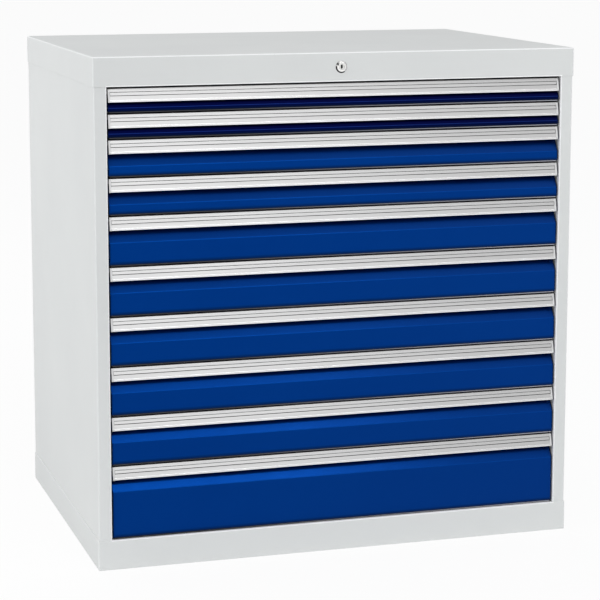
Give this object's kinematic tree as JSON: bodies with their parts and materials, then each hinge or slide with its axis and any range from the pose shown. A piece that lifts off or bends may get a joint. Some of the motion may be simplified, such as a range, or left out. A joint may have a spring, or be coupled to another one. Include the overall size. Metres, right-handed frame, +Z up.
{
  "type": "drawer cabinet",
  "caption": "Workshop drawer cabinet of sheet steel: light housing on a plinth, full-width blue drawers of stepped heights on telescopic runners, aluminium handle strips, central lock.",
  "frame": {"origin": "middle of the footprint, on the floor under the plinth", "axes": "+Z up, drawer fronts face -Y and open that way, +X to the viewer's right"},
  "size_m": [1.005, 0.7294, 1.02],
  "materials": {
    "housing_paint": "light grey powder coat, fine texture",
    "front_paint": "deep blue powder coat, smooth satin",
    "tray_paint": "light grey paint on folded sheet",
    "handle_aluminium": "extruded, natural anodised",
    "cap_plastic": "moulded, fine grain",
    "rail_steel": "cold-rolled, bright zinc plated",
    "zinc_steel": "galvanised sheet",
    "lock_nickel": "satin nickel plated zinc",
    "lock_steel": "turned steel"
  },
  "bodies": {
    "cabinet": {"top_cover": "housing_paint", "plinth": "housing_paint", "right_side_panel": "housing_paint", "left_side_panel": "housing_paint", "back_panel": "housing_paint", "uprights": "zinc_steel", "cabinet_rails": "rail_steel", "lock_housing": "lock_nickel"},
    "drawer_01": {"drawer_01_front": "front_paint", "drawer_01_handle": "handle_aluminium", "drawer_01_end_caps": "cap_plastic", "drawer_01_tray": "tray_paint"},
    "middle_rails_01": {"drawer_01_middle_rails": "rail_steel"},
    "drawer_02": {"drawer_02_front": "front_paint", "drawer_02_handle": "handle_aluminium", "drawer_02_end_caps": "cap_plastic", "drawer_02_tray": "tray_paint"},
    "middle_rails_02": {"drawer_02_middle_rails": "rail_steel"},
    "drawer_03": {"drawer_03_front": "front_paint", "drawer_03_handle": "handle_aluminium", "drawer_03_end_caps": "cap_plastic", "drawer_03_tray": "tray_paint"},
    "middle_rails_03": {"drawer_03_middle_rails": "rail_steel"},
    "drawer_04": {"drawer_04_front": "front_paint", "drawer_04_handle": "handle_aluminium", "drawer_04_end_caps": "cap_plastic", "drawer_04_tray": "tray_paint"},
    "middle_rails_04": {"drawer_04_middle_rails": "rail_steel"},
    "drawer_05": {"drawer_05_front": "front_paint", "drawer_05_handle": "handle_aluminium", "drawer_05_end_caps": "cap_plastic", "drawer_05_tray": "tray_paint"},
    "middle_rails_05": {"drawer_05_middle_rails": "rail_steel"},
    "drawer_06": {"drawer_06_front": "front_paint", "drawer_06_handle": "handle_aluminium", "drawer_06_end_caps": "cap_plastic", "drawer_06_tray": "tray_paint"},
    "middle_rails_06": {"drawer_06_middle_rails": "rail_steel"},
    "drawer_07": {"drawer_07_front": "front_paint", "drawer_07_handle": "handle_aluminium", "drawer_07_end_caps": "cap_plastic", "drawer_07_tray": "tray_paint"},
    "middle_rails_07": {"drawer_07_middle_rails": "rail_steel"},
    "drawer_08": {"drawer_08_front": "front_paint", "drawer_08_handle": "handle_aluminium", "drawer_08_end_caps": "cap_plastic", "drawer_08_tray": "tray_paint"},
    "middle_rails_08": {"drawer_08_middle_rails": "rail_steel"},
    "drawer_09": {"drawer_09_front": "front_paint", "drawer_09_handle": "handle_aluminium", "drawer_09_end_caps": "cap_plastic", "drawer_09_tray": "tray_paint"},
    "middle_rails_09": {"drawer_09_middle_rails": "rail_steel"},
    "drawer_10": {"drawer_10_front": "front_paint", "drawer_10_handle": "handle_aluminium", "drawer_10_end_caps": "cap_plastic", "drawer_10_tray": "tray_paint"},
    "middle_rails_10": {"drawer_10_middle_rails": "rail_steel"},
    "lock_core": {"lock_core": "lock_steel"},
    "lock_bar": {"lock_bar": "zinc_steel"}
  },
  "joints": [
    {"name": "drawer_01_slide", "type": "slide", "parent": "cabinet", "child": "drawer_01", "axis": [0, -1, 0], "range_m": [0, 0.6]},
    {"name": "middle_rails_01_slide", "type": "slide", "parent": "cabinet", "child": "middle_rails_01", "axis": [0, -1, 0], "range_m": [0, 0.3]},
    {"name": "drawer_02_slide", "type": "slide", "parent": "cabinet", "child": "drawer_02", "axis": [0, -1, 0], "range_m": [0, 0.6]},
    {"name": "middle_rails_02_slide", "type": "slide", "parent": "cabinet", "child": "middle_rails_02", "axis": [0, -1, 0], "range_m": [0, 0.3]},
    {"name": "drawer_03_slide", "type": "slide", "parent": "cabinet", "child": "drawer_03", "axis": [0, -1, 0], "range_m": [0, 0.6]},
    {"name": "middle_rails_03_slide", "type": "slide", "parent": "cabinet", "child": "middle_rails_03", "axis": [0, -1, 0], "range_m": [0, 0.3]},
    {"name": "drawer_04_slide", "type": "slide", "parent": "cabinet", "child": "drawer_04", "axis": [0, -1, 0], "range_m": [0, 0.6]},
    {"name": "middle_rails_04_slide", "type": "slide", "parent": "cabinet", "child": "middle_rails_04", "axis": [0, -1, 0], "range_m": [0, 0.3]},
    {"name": "drawer_05_slide", "type": "slide", "parent": "cabinet", "child": "drawer_05", "axis": [0, -1, 0], "range_m": [0, 0.6]},
    {"name": "middle_rails_05_slide", "type": "slide", "parent": "cabinet", "child": "middle_rails_05", "axis": [0, -1, 0], "range_m": [0, 0.3]},
    {"name": "drawer_06_slide", "type": "slide", "parent": "cabinet", "child": "drawer_06", "axis": [0, -1, 0], "range_m": [0, 0.6]},
    {"name": "middle_rails_06_slide", "type": "slide", "parent": "cabinet", "child": "middle_rails_06", "axis": [0, -1, 0], "range_m": [0, 0.3]},
    {"name": "drawer_07_slide", "type": "slide", "parent": "cabinet", "child": "drawer_07", "axis": [0, -1, 0], "range_m": [0, 0.6]},
    {"name": "middle_rails_07_slide", "type": "slide", "parent": "cabinet", "child": "middle_rails_07", "axis": [0, -1, 0], "range_m": [0, 0.3]},
    {"name": "drawer_08_slide", "type": "slide", "parent": "cabinet", "child": "drawer_08", "axis": [0, -1, 0], "range_m": [0, 0.6]},
    {"name": "middle_rails_08_slide", "type": "slide", "parent": "cabinet", "child": "middle_rails_08", "axis": [0, -1, 0], "range_m": [0, 0.3]},
    {"name": "drawer_09_slide", "type": "slide", "parent": "cabinet", "child": "drawer_09", "axis": [0, -1, 0], "range_m": [0, 0.6]},
    {"name": "middle_rails_09_slide", "type": "slide", "parent": "cabinet", "child": "middle_rails_09", "axis": [0, -1, 0], "range_m": [0, 0.3]},
    {"name": "drawer_10_slide", "type": "slide", "parent": "cabinet", "child": "drawer_10", "axis": [0, -1, 0], "range_m": [0, 0.6]},
    {"name": "middle_rails_10_slide", "type": "slide", "parent": "cabinet", "child": "middle_rails_10", "axis": [0, -1, 0], "range_m": [0, 0.3]},
    {"name": "lock_turn", "type": "hinge", "parent": "cabinet", "child": "lock_core", "pos_m": [0, -0.36325, 0.991], "axis": [0, 1, 0], "range_deg": [0, 90]},
    {"name": "lock_bar_lift", "type": "slide", "parent": "cabinet", "child": "lock_bar", "axis": [0, 0, 1], "range_m": [0, 0.016]}
  ],
  "couplings": [
    {"joint": "middle_rails_01_slide", "follows": "drawer_01_slide", "ratio": 0.5},
    {"joint": "middle_rails_02_slide", "follows": "drawer_02_slide", "ratio": 0.5},
    {"joint": "middle_rails_03_slide", "follows": "drawer_03_slide", "ratio": 0.5},
    {"joint": "middle_rails_04_slide", "follows": "drawer_04_slide", "ratio": 0.5},
    {"joint": "middle_rails_05_slide", "follows": "drawer_05_slide", "ratio": 0.5},
    {"joint": "middle_rails_06_slide", "follows": "drawer_06_slide", "ratio": 0.5},
    {"joint": "middle_rails_07_slide", "follows": "drawer_07_slide", "ratio": 0.5},
    {"joint": "middle_rails_08_slide", "follows": "drawer_08_slide", "ratio": 0.5},
    {"joint": "middle_rails_09_slide", "follows": "drawer_09_slide", "ratio": 0.5},
    {"joint": "middle_rails_10_slide", "follows": "drawer_10_slide", "ratio": 0.5},
    {"joint": "lock_turn", "follows": "lock_bar_lift", "rad_per_m": 98.174}
  ]
}
